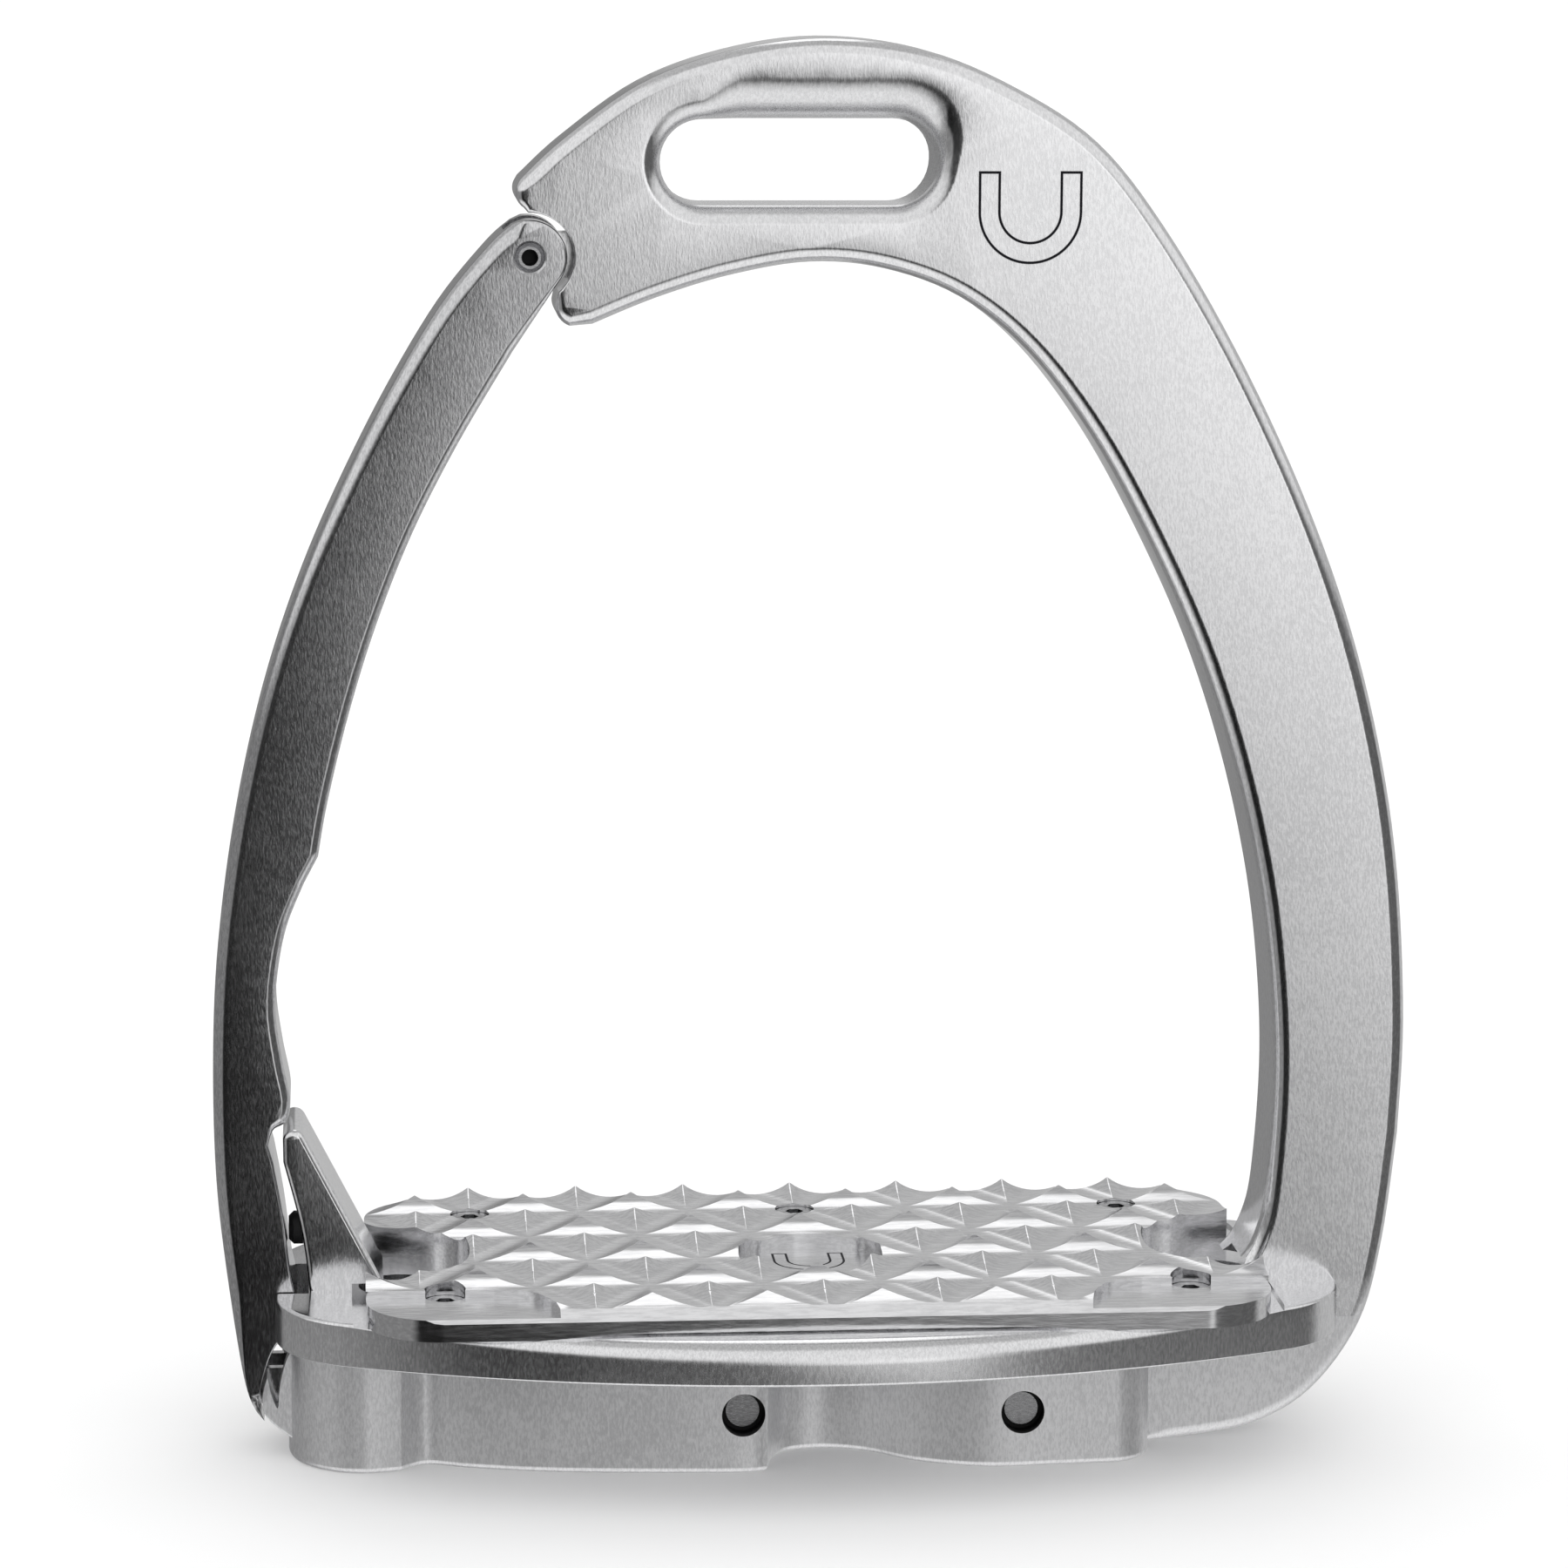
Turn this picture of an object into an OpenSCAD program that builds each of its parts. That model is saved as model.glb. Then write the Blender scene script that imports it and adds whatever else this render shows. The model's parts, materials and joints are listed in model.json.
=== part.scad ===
// Safety stirrup iron: one milled body, a side arm that swings outward, and a spiked tread.
// Millimetres, +Z up. X = 0 and Y = 0 run through the middle of the tread, and Z = 0 is the flat
// underside the iron stands on. The release arm is on the -X side.

/* [Body] */
// Thickness of the arch, the arms and the post
plate_t = 13; // [12.6:0.2:14]
// Thickness of the flange under the tread
flange_t = 5.2; // [4.8:0.2:5.4]
// Height of the under-body below the flange
hull_h = 15.4; // [15.2:0.1:15.8]
// Half depth of the flange at its middle
flange_half_y = 33; // [32:0.5:34]

/* [Strap slot] */
// Width of the slot for the stirrup leather
slot_w = 32.4; // [30:0.2:34]
// Height of the slot
slot_h = 9.9; // [9:0.1:10.4]
// Radius that rounds the bar over the slot, where the leather bears
bar_round_r = 5; // [4:0.5:5]

/* [Shoulder hinge] */
// Height of the hinge axis above the base
hinge_z = 143.9; // [143.6:0.1:144.2]
// Radius of the arm's rounded head
head_r = 4.35; // [4.2:0.05:4.4]
// Radius of the hinge pin
hinge_pin_r = 1.5; // [1.4:0.05:1.5]

/* [Tread] */
// Spacing of the spikes along a row
spike_pitch = 13.5; // [13:0.1:14]
// Radius of the round cutter that leaves the spikes
groove_r = 5.6; // [5.2:0.1:6]

/* [Latch] */
// Radius of the two cross pins in the under-body
latch_pin_r = 2; // [1.8:0.05:2]
// Thickness of the spring blade
blade_t = 1; // [0.8:0.1:1]

/* [Hidden] */
$fn = 48;

cut = 1;              // how far a cutter runs past the metal
slide_gap = 0.02;     // radial gap between pieces that don't turn on each other
turn_gap = 0.04;      // radial gap between pieces that do
half_t = plate_t / 2;

flange_top = hull_h + flange_t;
flange_x0 = -64.3;
flange_x1 = 63.5;
flange_edge_r = 133;
flange_end_r = 14;
hinge_x = -33.5;
seat_r = 5.2;
slot_x = -2.1;
slot_z = 154.85;

tongue_half = 2.2;    // half thickness of the hinge tongue
bush_flange_t = 0.35;
bush_wall = 0.5;
ear_inner = tongue_half + bush_flange_t + 0.05;
tongue_r = 3.5;
tongue_gap_r = 3.9;
pin_head_y = -5;
nut_y = 4;
nut_r = 2.4;

spike_row = spike_pitch * sqrt(3) / 2;
lattice_rows = 5;
lattice_cols = 10;
waist = 0.6;          // where each spike's flank has its bend
groove_floor = 23.7;
spike_tip = 25.2;
tread_base = flange_top - 0.4;
tread_screw_r = 1.5;
tread_head_r = 2.3;
tread_head_h = 1.3;
front_seat_z = tread_base + 0.8; // where the tread screw heads rest
rear_seat_z = tread_base + 1.9;
tread_screws_f = [[-44.3, -17.4], [44.3, -17.4]];
tread_screws_r = [for (i = [-3, 0, 3]) [i * spike_pitch, 1.5 * spike_row]]; // at groove crossings

pocket_half = 4;      // half width of the latch pocket
pocket_top = 13.6;
pocket_x0 = -56;
pocket_x1 = 34.5;
mouth_x0 = -70;       // the pocket's mouth runs out through the toe, above this height
mouth_z0 = 5;
counterbore_y = 13.6; // where the cross pins' counterbores begin
counterbore_r = latch_pin_r + 0.6;
window = [49.4, -2.4]; // the round windows in the flange, one at each end
window_r = 5;
cover_t = 1.6;
gasket_t = 0.4;
cover_half = 5.2;
cover_x0 = -55;
cover_x1 = 36;
pin_left = [-8.9, 7.2];
pin_right = [24.6, 6.8];
roller_r = 2.8;
blade_z = pin_left[1] + roller_r + slide_gap;
blade_half = 2.3;
hook_x = -60.6;
strike = [-57.6, 8.1];
strike_r = 1.4;
anchor_half = 3.6;
anchor_x0 = 10;
anchor_x1 = 33;
adjuster_x = 30;
cover_ear_x = [-38, 16];
cover_ear_y = 8.2;
cover_ear_r = 3.2;
cover_screw_r = 1.25;
cover_screws_at = [for (x = cover_ear_x) for (side = [-1, 1]) [x, side * cover_ear_y]];
blade_x0 = -62.3;
blade_x1 = 27;
blade_screw_x = [13, 18.5];
blade_screw_r = 0.9;
rivet_y = 1.2;
rivet_r = 0.6;
bumper_z = 27;
bumper_r = 2;
pad_top = 22.8;       // the flat pads at the tread's front corners
medal_floor = 22.5;

// ---- curves -----------------------------------------------------------------------------------

// One point of the smooth curve that passes through b and c
function curve_point(a, b, c, d, t) =
    0.5 * (2 * b + (c - a) * t + (2 * a - 5 * b + 4 * c - d) * t * t
           + (3 * b - a - 3 * c + d) * t * t * t);

// A smooth open curve through every control point
function smooth(p, steps = 4) = concat(
    [for (i = [0 : len(p) - 2]) for (k = [0 : steps - 1])
        curve_point(p[max(i - 1, 0)], p[i], p[i + 1], p[min(i + 2, len(p) - 1)], k / steps)],
    [p[len(p) - 1]]);

// An arc about centre c from angle a0 to a1, in degrees
function arc(c, r, a0, a1, steps = 8) =
    [for (i = [0 : steps]) let (a = a0 + (a1 - a0) * i / steps) c + r * [cos(a), sin(a)]];

function flip_y(p) = [for (i = [len(p) - 1 : -1 : 0]) [p[i][0], -p[i][1]]];

// A flat piece with its outline in X and Z, centred on Y = 0
module upright(points, half) {
    rotate([90, 0, 0]) linear_extrude(2 * half, center = true) polygon(points);
}

// A flat piece with its outline in X and Y
module level(points, z0, z1) {
    translate([0, 0, z0]) linear_extrude(z1 - z0) polygon(points);
}

// A round bar along Y from y0 to y1
module cross_bar(x, z, r, y0, y1) {
    translate([x, y1, z]) rotate([90, 0, 0]) cylinder(r = r, h = y1 - y0);
}

// A rounded slot along X that is cut along Y
module slot_cutter(x, z, w, h, half) {
    cross_bar(x - (w - h) / 2, z, h / 2, -half, half);
    cross_bar(x + (w - h) / 2, z, h / 2, -half, half);
    translate([x - (w - h) / 2, -half, z - h / 2]) cube([w - h, 2 * half, h]);
}

// ---- outlines ---------------------------------------------------------------------------------

pivot = [hinge_x, hinge_z];

// The outside of the arch, from the nose over the top and down to the base
arch_outer = smooth([[-34.6, 152.9], [-29.6, 157.5], [-20.6, 163.9], [-10.6, 167.6], [0.6, 169.2],
    [12.6, 167.8], [23.4, 163.4], [33, 157.1], [41, 147.3], [49.7, 133], [57.6, 117],
    [63.6, 101.6], [67.9, 86], [70.6, 70], [71.8, 52], [71.4, 38], [69.8, 24.5], [67.2, 14.2],
    [61.4, 5.9], [54, 1.6], [44, 0]]);

// The inside of the arch, from the flange up to the hinge
arch_inner = smooth([[46, 20], [51.5, 21.6], [54.4, 26.5], [55.5, 34], [56, 46], [55.3, 58],
    [53.6, 70], [50.4, 83.5], [45.7, 97.4], [39.4, 111], [32.6, 123], [25, 132.8], [16.9, 139.2],
    [8, 142.5], [-0.8, 143.3], [-10, 141.8], [-18.6, 139.2], [-26.2, 136.1]]);

// The round lower hook and the seat around the arm's head, from the inner curve to the top nose
arch_end = concat(arc([-28, 138.3], 2.55, 250, 180, 6),
                  arc(pivot, seat_r, -50, 92, 14),
                  arc([-33.1, 151.4], 2.05, 238, 160, 5));

// The arch and the right-hand arm down to the base
frame_plate = concat(arch_outer, [[38, 0], [38, 18]], arch_inner, arch_end);

// The short post that the arm's foot closes against
post = concat([[-50.4, flange_top - 1]], arc([-61.9, 39.1], 1.35, 30, 170, 6),
              smooth([[-63.2, 36.5], [-61.4, 29.3], [-60.5, 23.3], [-59.8, hull_h]], 3));

// The pointed toe under the arm's foot
toe = concat([[-50, 0]], smooth([[-58.6, 0], [-62.6, 2.6], [-65.5, 5.2], [-66, 7.6], [-65.4, 10.2]], 3),
             smooth([[-65, 8.2], [-64.2, 6.3], [-63.9, 9], [-63, 12.5], [-61.2, hull_h]], 3),
             [[-50, hull_h]]);

// The room that the arm's foot needs in the flange and the under-body
foot_gap = [[-72, 22], [-63.6, 24], [-60.4, 22], [-60.2, 17.4], [-61.6, 15.6], [-63.2, 12.4],
    [-64, 9], [-64.2, 6.4], [-64.9, 8.2], [-65.5, 10.5], [-72, 12]];

// The release arm, from its round head down the outside to the foot and back up the inside
arm_outline = concat(
    arc(pivot, head_r, -38, 100, 14),
    smooth([[-35.5, 147.7], [-38.4, 145.1], [-44.1, 138.1], [-50.2, 128], [-55.8, 117],
        [-60.2, 107], [-64, 96.2], [-66.9, 85.3], [-69.2, 73.5], [-70.8, 61], [-71.4, 48],
        [-71.2, 34.5], [-70.1, 22.9], [-68.4, 11.3], [-67.2, 6.9], [-65.8, 4.8]]),
    smooth([[-66.6, 7], [-65.9, 10.2], [-64.6, 13.6], [-62.3, 16.6], [-61.8, 19.4], [-62.5, 23.3],
        [-63.3, 30.1], [-64.4, 36.5]], 3),
    smooth([[-65, 38.6], [-64.4, 40.4], [-62.8, 41.4], [-62.3, 44], [-63.2, 49], [-63.9, 54.6],
        [-63.6, 59.5], [-62.5, 65], [-60.4, 70.2]], 3),
    smooth([[-58.7, 73.4], [-57.5, 80], [-54.9, 90.5], [-51.6, 101], [-47.3, 111.8],
        [-41.9, 122.3], [-35.5, 133]]));

// The flange's long edge is one wide arc, met by a smaller arc at each end
flange_centre = [0, flange_edge_r - flange_half_y];

function flange_end_centre(x) =
    [x, flange_centre[1] - sqrt(pow(flange_edge_r - flange_end_r, 2) - x * x)];

left_end = flange_end_centre(flange_x0 + flange_end_r);
right_end = flange_end_centre(flange_x1 - flange_end_r);
left_turn = asin(-left_end[0] / (flange_edge_r - flange_end_r));
right_turn = asin(right_end[0] / (flange_edge_r - flange_end_r));
flange_front = concat(
    arc(left_end, flange_end_r, 180, 270 - left_turn, 8),
    arc(flange_centre, flange_edge_r, 270 - left_turn, 270 + right_turn, 24),
    arc(right_end, flange_end_r, 270 + right_turn, 360, 8));
flange_outline = concat(flange_front, flip_y(flange_front));

// The under-body's front half: a round left end, two shallow hollows and a round right end
hull_front = concat(
    arc([-53.4, -3.9], 9.5, 176, 272, 9),
    smooth([[-49.6, -12.7], [-46.4, -10.4], [-41, -12.2], [-30, -14.6], [-11, -16.2], [-6, -15.6]], 3),
    smooth([[-5.4, -12.4], [-3.4, -8.2], [1.2, -6.9], [6.4, -8.6], [12, -13], [20, -15.8], [28, -15.6]], 3),
    arc([35, -9.6], 5.6, 282, 360, 7));
hull_outline = concat(hull_front, flip_y(hull_front));

tread_corner_r = 9;
tread_x = 53.6;
tread_front = -28;
tread_rear = 25.2;
tread_outline = concat(
    arc([-tread_x + tread_corner_r, tread_front + tread_corner_r], tread_corner_r, 180, 270, 8),
    arc([tread_x - tread_corner_r, tread_front + tread_corner_r], tread_corner_r, 270, 360, 8),
    arc([tread_x - tread_corner_r, tread_rear - tread_corner_r], tread_corner_r, 0, 90, 8),
    arc([-tread_x + tread_corner_r, tread_rear - tread_corner_r], tread_corner_r, 90, 180, 8));
notch_r = 12.6;
notch_y = -0.8;

// ---- body -------------------------------------------------------------------------------------

// Rounds one long edge of the bar over the strap slot; side is -1 for the front, 1 for the rear
module bar_round_cutter(side) {
    z = slot_z + slot_h / 2;
    y = half_t - bar_round_r;
    straight = slot_w - slot_h;
    translate([slot_x - straight / 2, 0, 0]) difference() {
        translate([0, side > 0 ? y : -half_t - cut, z - cut])
            cube([straight, bar_round_r + cut, bar_round_r + cut]);
        translate([-cut, side * y, z + bar_round_r]) rotate([0, 90, 0])
            cylinder(r = bar_round_r, h = straight + 2 * cut);
    }
}

module hinge_tongue() {
    cross_bar(hinge_x, hinge_z, tongue_r, -tongue_half, tongue_half);
    translate([hinge_x, -tongue_half, hinge_z - 2.6]) cube([8, 2 * tongue_half, 5.2]);
}

module latch_pocket() {
    translate([mouth_x0, -pocket_half, mouth_z0])
        cube([pocket_x0 + cut - mouth_x0, 2 * pocket_half, pocket_top - mouth_z0]);
    translate([pocket_x0, -pocket_half, -cut])
        cube([pocket_x1 - pocket_x0, 2 * pocket_half, pocket_top + cut]);
    cover_shape(0.1, -cut, cover_t + gasket_t);
}

// The outline of the base cover between two heights, grown by grow
module cover_shape(grow, z0, z1) {
    translate([cover_x0 - grow, -cover_half - grow, z0])
        cube([cover_x1 - cover_x0 + 2 * grow, 2 * (cover_half + grow), z1 - z0]);
    for (x = cover_ear_x) {
        translate([x - cover_ear_r - grow, -cover_ear_y, z0])
            cube([2 * (cover_ear_r + grow), 2 * cover_ear_y, z1 - z0]);
        for (side = [-1, 1]) translate([x, side * cover_ear_y, z0])
            cylinder(r = cover_ear_r + grow, h = z1 - z0);
    }
}

module frame() {
    color("silver") difference() {
        union() {
            upright(frame_plate, half_t);
            upright(post, half_t);
            upright(toe, half_t);
            hinge_tongue();
            level(hull_outline, 0, hull_h + cut);
            level(flange_outline, hull_h, flange_top);
        }
        upright(foot_gap, half_t + 0.4);
        slot_cutter(slot_x, slot_z, slot_w, slot_h, half_t + cut);
        bar_round_cutter(-1);
        bar_round_cutter(1);
        cross_bar(hinge_x, hinge_z, hinge_pin_r + bush_wall + turn_gap + slide_gap,
                  -tongue_half - cut, tongue_half + cut);
        latch_pocket();
        for (p = [pin_left, pin_right]) {
            cross_bar(p[0], p[1], latch_pin_r + slide_gap, -20, 20);
            cross_bar(p[0], p[1], counterbore_r, counterbore_y, 20);
            cross_bar(p[0], p[1], counterbore_r, -20, -counterbore_y);
        }
        level([for (q = tread_outline) q * 1.03], tread_base, flange_top + cut);
        for (s = concat(tread_screws_f, tread_screws_r))
            translate([s[0], s[1], hull_h - cut])
                cylinder(r = tread_screw_r + slide_gap, h = flange_t + 2 * cut);
        translate([-window[0], window[1], pocket_top - cut]) cylinder(r = window_r, h = 9);
        translate([window[0], window[1], pocket_top]) cylinder(r = window_r, h = 9);
        for (s = cover_screws_at)
            translate([s[0], s[1], 0]) cylinder(r = cover_screw_r + slide_gap, h = 9);
        translate([-64, 0, bumper_z]) rotate([0, 90, 0])
            cylinder(r = bumper_r + slide_gap, h = 8);
    }
}

// The pin's bore through both ears, with the pin head's seat, the gap for the tongue and the
// nut's seat
module arm_hinge_bore() {
    bore_r = hinge_pin_r + slide_gap;
    end = half_t + cut;
    translate([hinge_x, 0, hinge_z]) rotate([-90, 0, 0]) rotate_extrude() polygon([
        [0, -end], [bore_r + 0.2, -end], [bore_r + 0.2, pin_head_y], [bore_r, pin_head_y],
        [bore_r, -ear_inner], [tongue_gap_r, -ear_inner], [tongue_gap_r, ear_inner],
        [bore_r, ear_inner], [bore_r, nut_y], [nut_r + slide_gap, nut_y],
        [nut_r + slide_gap, end], [0, end]]);
}

module release_arm() {
    color("gray") difference() {
        union() {
            upright(arm_outline, half_t);
            for (side = [-1, 1]) translate([-67, side * 3.2 - 0.6, 6.2]) cube([11.2, 1.2, 4.4]);
        }
        arm_hinge_bore();
        translate([hinge_x, 0, hinge_z]) rotate([0, 45, 0])
            translate([-10, -ear_inner, 0]) cube([20, 2 * ear_inner, 12]);
        cross_bar(strike[0], strike[1], strike_r + slide_gap, -half_t, half_t);
        translate([-66.2, -2.6, 5]) cube([12, 5.2, 9]);
    }
}

// ---- hinge ------------------------------------------------------------------------------------

module hinge_pin() {
    color("dimgray") difference() {
        union() {
            cross_bar(hinge_x, hinge_z, hinge_pin_r, -half_t + 0.35, half_t - 0.6);
            cross_bar(hinge_x, hinge_z, hinge_pin_r + 0.2, -half_t + 0.35, pin_head_y - 0.02);
        }
        translate([hinge_x, -half_t + 2.2, hinge_z]) rotate([90, 0, 0])
            cylinder(r = 1, h = 4, $fn = 6);
    }
}

module hinge_nut() {
    color("dimgray") difference() {
        cross_bar(hinge_x, hinge_z, nut_r, nut_y + 0.02, half_t - 0.3);
        cross_bar(hinge_x, hinge_z, hinge_pin_r + slide_gap, 3, half_t + cut);
        for (a = [0, 90]) translate([hinge_x, 0, hinge_z]) rotate([0, a, 0])
            translate([-3, half_t - 0.8, -0.4]) cube([6, 1, 0.8]);
    }
}

// A flanged bush: side is -1 for the front, 1 for the rear
module hinge_bush(side) {
    inner = side > 0 ? 0.02 : -tongue_half;
    outer = side > 0 ? tongue_half : -0.02;
    flange = side * (tongue_half + bush_flange_t / 2);
    color("goldenrod") difference() {
        union() {
            cross_bar(hinge_x, hinge_z, hinge_pin_r + bush_wall + turn_gap, inner, outer);
            cross_bar(hinge_x, hinge_z, 3.3, flange - bush_flange_t / 2, flange + bush_flange_t / 2);
        }
        cross_bar(hinge_x, hinge_z, hinge_pin_r + turn_gap, -5, 5);
    }
}

module hinge_bush_front() { hinge_bush(-1); }

module hinge_bush_rear() { hinge_bush(1); }

// ---- tread ------------------------------------------------------------------------------------

// The spikes stand on a lattice of equal triangles; corner j, i is the i-th one on row line j
function corner_index(j, i) = j * (lattice_cols + 1) + i;

corners = [for (j = [0 : lattice_rows]) for (i = [0 : lattice_cols])
    [(i - lattice_cols / 2 + (j % 2) / 2) * spike_pitch, (j - lattice_rows / 2) * spike_row]];

// The two triangles between corners i and i + 1 of row lines j and j + 1, as corner indices
function cell_pair(j, i) = let (
    a = corner_index(j, i),
    b = corner_index(j, i + 1),
    c = corner_index(j + 1, i),
    d = corner_index(j + 1, i + 1))
    j % 2 == 0 ? [[a, b, c], [b, d, c]] : [[a, b, d], [a, d, c]];

cells = [for (j = [0 : lattice_rows - 1]) for (i = [0 : lattice_cols - 1]) each cell_pair(j, i)];

lattice_edge = concat([for (i = [0 : lattice_cols]) corner_index(0, i)],
    [for (j = [1 : lattice_rows - 1]) corner_index(j, lattice_cols)],
    [for (i = [lattice_cols : -1 : 0]) corner_index(lattice_rows, i)],
    [for (j = [lattice_rows - 1 : -1 : 1]) corner_index(j, 0)]);

// Height of the round-cut flank at a share t of the way from the groove to the tip
function flank_z(t) = groove_floor + groove_r - sqrt(groove_r * groove_r - pow(t * spike_row / 3, 2));

function at_height(p, z) = [p[0], p[1], z];

// The four points of one spike above its corners: three half way up its edges, and its tip
function spike_points(cell) = let (tip = (corners[cell[0]] + corners[cell[1]] + corners[cell[2]]) / 3)
    concat([for (k = cell) at_height(corners[k] + (tip - corners[k]) * waist, flank_z(waist))],
           [at_height(tip, flank_z(1))]);

// The nine faces of one spike; first is the index of its first point
function spike_faces(cell, first) = [for (k = [0 : 2]) let (n = (k + 1) % 3) each
    [[cell[k], first + k, first + n, cell[n]], [first + k, first + 3, first + n]]];

// A slab with its whole top cut into spikes
module spiked_slab() {
    n = len(lattice_edge);
    first_spike = len(corners);
    first_low = first_spike + 4 * len(cells);
    points = concat([for (c = corners) at_height(c, groove_floor)],
        [for (c = cells) each spike_points(c)],
        [for (c = corners) at_height(c, tread_base)]);
    spikes = [for (k = [0 : len(cells) - 1]) each spike_faces(cells[k], first_spike + 4 * k)];
    walls = [for (k = [0 : n - 1]) let (m = (k + 1) % n)
        [lattice_edge[k], lattice_edge[m], first_low + lattice_edge[m], first_low + lattice_edge[k]]];
    floor = [for (c = cells) [for (k = c) first_low + k]];
    polyhedron(points, concat(spikes, walls, floor));
}

// The flat pads that leave room for the front screws
pad_outline = concat([[-56, -29], [-31, -29]],
    smooth([[-31.2, -27], [-32.4, -22.6], [-35, -19], [-38.6, -18]], 3), [[-56, -18]]);

module pad_cutters() {
    level(pad_outline, pad_top, pad_top + 5);
    mirror([1, 0, 0]) level(pad_outline, pad_top, pad_top + 5);
}

// Slopes the tips of the front row down to a chamfer along the front edge
module front_lip_cutter() {
    translate([-60, 0, 0]) rotate([90, 0, 90]) linear_extrude(120) polygon([[-29, 21.6], [-28, 22.8],
        [-27.2, 23.75], [-23.2, 24.5], [-23.2, 26], [-29, 26]]);
}

module screw_seats(at, seat) {
    for (s = at) translate([s[0], s[1], tread_base - cut]) {
        cylinder(r = tread_screw_r + 0.15, h = 8);
        translate([0, 0, seat - tread_base + cut]) cylinder(r = tread_head_r + 0.12, h = 8);
    }
}

module tread_plate() {
    color("lightgray") difference() {
        intersection() {
            level(tread_outline, tread_base, spike_tip);
            spiked_slab();
        }
        for (side = [-1, 1]) translate([side * tread_x, notch_y, tread_base - cut])
            cylinder(r = notch_r, h = 12);
        pad_cutters();
        front_lip_cutter();
        translate([0, -4.6, medal_floor]) cylinder(r = 8.7, h = 5);
        screw_seats(tread_screws_f, front_seat_z);
        screw_seats(tread_screws_r, rear_seat_z);
    }
}

// Flat-head screws with hex sockets, one at each place in list at, with their heads on seat
module tread_screws(at, seat) {
    head_z = seat + slide_gap;
    screw_end_z = hull_h - 0.8;
    color("silver") for (s = at) translate([s[0], s[1], 0]) difference() {
        union() {
            translate([0, 0, screw_end_z])
                cylinder(r = tread_screw_r, h = head_z + 1 - screw_end_z);
            translate([0, 0, head_z]) cylinder(r = tread_head_r, h = tread_head_h);
        }
        translate([0, 0, head_z + 0.3]) cylinder(r = 1.15, h = 4, $fn = 6);
    }
}

module tread_screws_front() { tread_screws(tread_screws_f, front_seat_z); }

module tread_screws_rear() { tread_screws(tread_screws_r, rear_seat_z); }

// ---- latch ------------------------------------------------------------------------------------

module latch_blade() {
    color("slategray") difference() {
        translate([blade_x0, -blade_half, blade_z])
            cube([blade_x1 - blade_x0, 2 * blade_half, blade_t]);
        for (x = blade_screw_x) translate([x, 0, blade_z - cut])
            cylinder(r = blade_screw_r + 0.1, h = blade_t + 2 * cut);
        for (side = [-1, 1]) translate([hook_x, side * rivet_y, blade_z - cut])
            cylinder(r = rivet_r + slide_gap, h = blade_t + 2 * cut);
    }
}

module latch_anchor() {
    color("dimgray") difference() {
        translate([anchor_x0, -anchor_half, 3])
            cube([anchor_x1 - anchor_x0, 2 * anchor_half, blade_z - 3]);
        cross_bar(pin_right[0], pin_right[1], latch_pin_r + turn_gap, -5, 5);
        translate([adjuster_x, 0, 0]) cylinder(r = 1.5 + slide_gap, h = 20);
        for (x = blade_screw_x) translate([x, 0, 4]) cylinder(r = blade_screw_r + slide_gap, h = 9);
    }
}

module blade_screws() {
    top = blade_z + blade_t;
    color("silver") for (x = blade_screw_x) translate([x, 0, 0]) difference() {
        union() {
            translate([0, 0, 5]) cylinder(r = blade_screw_r, h = top + 0.5 - 5);
            translate([0, 0, top + slide_gap]) cylinder(r = 1.7, h = 1.2);
        }
        translate([0, 0, top + 0.5]) cylinder(r = 0.8, h = 4, $fn = 6);
    }
}

// The hardened tooth that holds the strike pin
module latch_hook() {
    top = blade_z - 0.01;
    color("dimgray") difference() {
        upright([[-62.2, top], [-62.2, 8.4], [-60.8, 6.6], [-59.2, 6.6], [-59.2, 9], [-58.7, top]],
                blade_half - 0.1);
        for (side = [-1, 1]) translate([hook_x, side * rivet_y, 0])
            cylinder(r = rivet_r + slide_gap, h = 20);
    }
}

module hook_rivets() {
    color("silver") for (side = [-1, 1]) translate([hook_x, side * rivet_y, 0]) {
        translate([0, 0, 6.8]) cylinder(r = rivet_r, h = blade_z + blade_t - 6.8 + 0.2);
        translate([0, 0, blade_z + blade_t + slide_gap]) cylinder(r = 1, h = 0.5);
    }
}

module latch_pins() {
    color("dimgray") for (p = [pin_left, pin_right]) cross_bar(p[0], p[1], latch_pin_r, -14, 14);
}

module fulcrum_roller() {
    color("goldenrod") difference() {
        cross_bar(pin_left[0], pin_left[1], roller_r, -anchor_half, anchor_half);
        cross_bar(pin_left[0], pin_left[1], latch_pin_r + turn_gap, -5, 5);
    }
}

module strike_pin() {
    color("dimgray") cross_bar(strike[0], strike[1], strike_r, -3.8, 3.8);
}

module adjuster_screw() {
    color("dimgray") translate([adjuster_x, 0, 0]) difference() {
        translate([0, 0, 3.6]) cylinder(r = 1.5, h = pocket_top - 0.05 - 3.6);
        translate([0, 0, 3]) cylinder(r = 0.85, h = 2.6, $fn = 6);
    }
}

// ---- base cover -------------------------------------------------------------------------------

module base_cover() {
    color("silver") difference() {
        cover_shape(0, 0, cover_t);
        translate([adjuster_x, 0, -cut]) cylinder(r = 1.4, h = 4);
        for (s = cover_screws_at) translate([s[0], s[1], -cut]) {
            cylinder(r = cover_screw_r + 0.15, h = 4);
            cylinder(r = 2.3, h = cut + 0.8);
        }
    }
}

module cover_gasket() {
    color("black") difference() {
        cover_shape(0, cover_t + 0.01, cover_t + gasket_t - 0.01);
        translate([mouth_x0, -pocket_half, 0]) cube([pocket_x1 - mouth_x0, 2 * pocket_half, 4]);
        for (s = cover_screws_at) translate([s[0], s[1], 0]) cylinder(r = cover_screw_r + 0.15, h = 4);
    }
}

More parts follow.
